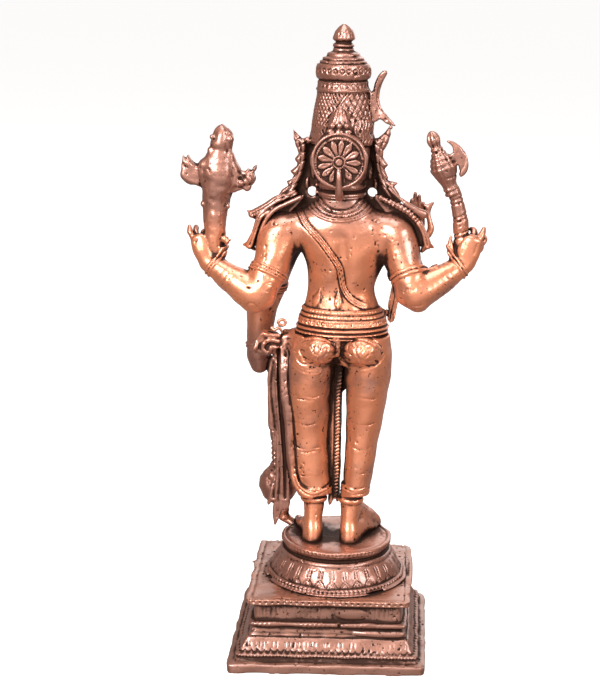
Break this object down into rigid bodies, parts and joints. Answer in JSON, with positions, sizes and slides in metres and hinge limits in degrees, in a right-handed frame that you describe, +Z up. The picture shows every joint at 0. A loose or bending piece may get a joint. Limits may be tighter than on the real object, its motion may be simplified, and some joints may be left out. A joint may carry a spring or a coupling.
{
  "type": "shankaranarayana figure",
  "caption": "Standing four-armed copper deity figure in the round on a lotus base and square stepped plinth, with conch, axe, mace and tall crown.",
  "frame": {"origin": "middle of the plinth's flat underside, on the surface that the work stands on", "axes": "+Z up, the figure faces -Y, its left hand side is +X"},
  "size_m": [0.0852, 0.0566, 0.18],
  "materials": {
    "figure_copper": "cast copper, rubbed bright on the high parts, dark brown patina in the cut lines and hollows, fine casting pits",
    "plinth_copper": "cast copper with a duller purple-brown patina on its flat tops and bright rubbed edges"
  },
  "bodies": {
    "root": {"figure": "figure_copper", "plinth": "plinth_copper"}
  },
  "joints": []
}
